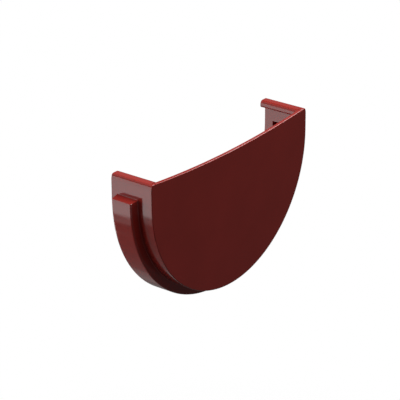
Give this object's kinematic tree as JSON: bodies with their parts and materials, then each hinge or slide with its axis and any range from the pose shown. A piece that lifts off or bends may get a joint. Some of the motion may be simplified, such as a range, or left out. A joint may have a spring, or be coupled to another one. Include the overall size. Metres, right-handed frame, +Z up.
{
  "type": "gutter end cap",
  "caption": "Half-round gutter end cap moulded in one piece: a D-shaped plate, a rim with a raised seal band, and hooked lips over the gutter's edges.",
  "frame": {"origin": "centre of the half-round, on the inner face of the closing plate", "axes": "+X across the gutter, +Y along the gutter, away from the plate and out of the open end, +Z up"},
  "size_m": [0.1372, 0.0252, 0.081],
  "materials": {
    "red_plastic": "glossy moulded plastic, dark brown-red"
  },
  "bodies": {
    "root": {"cap_body": "red_plastic"}
  },
  "joints": []
}
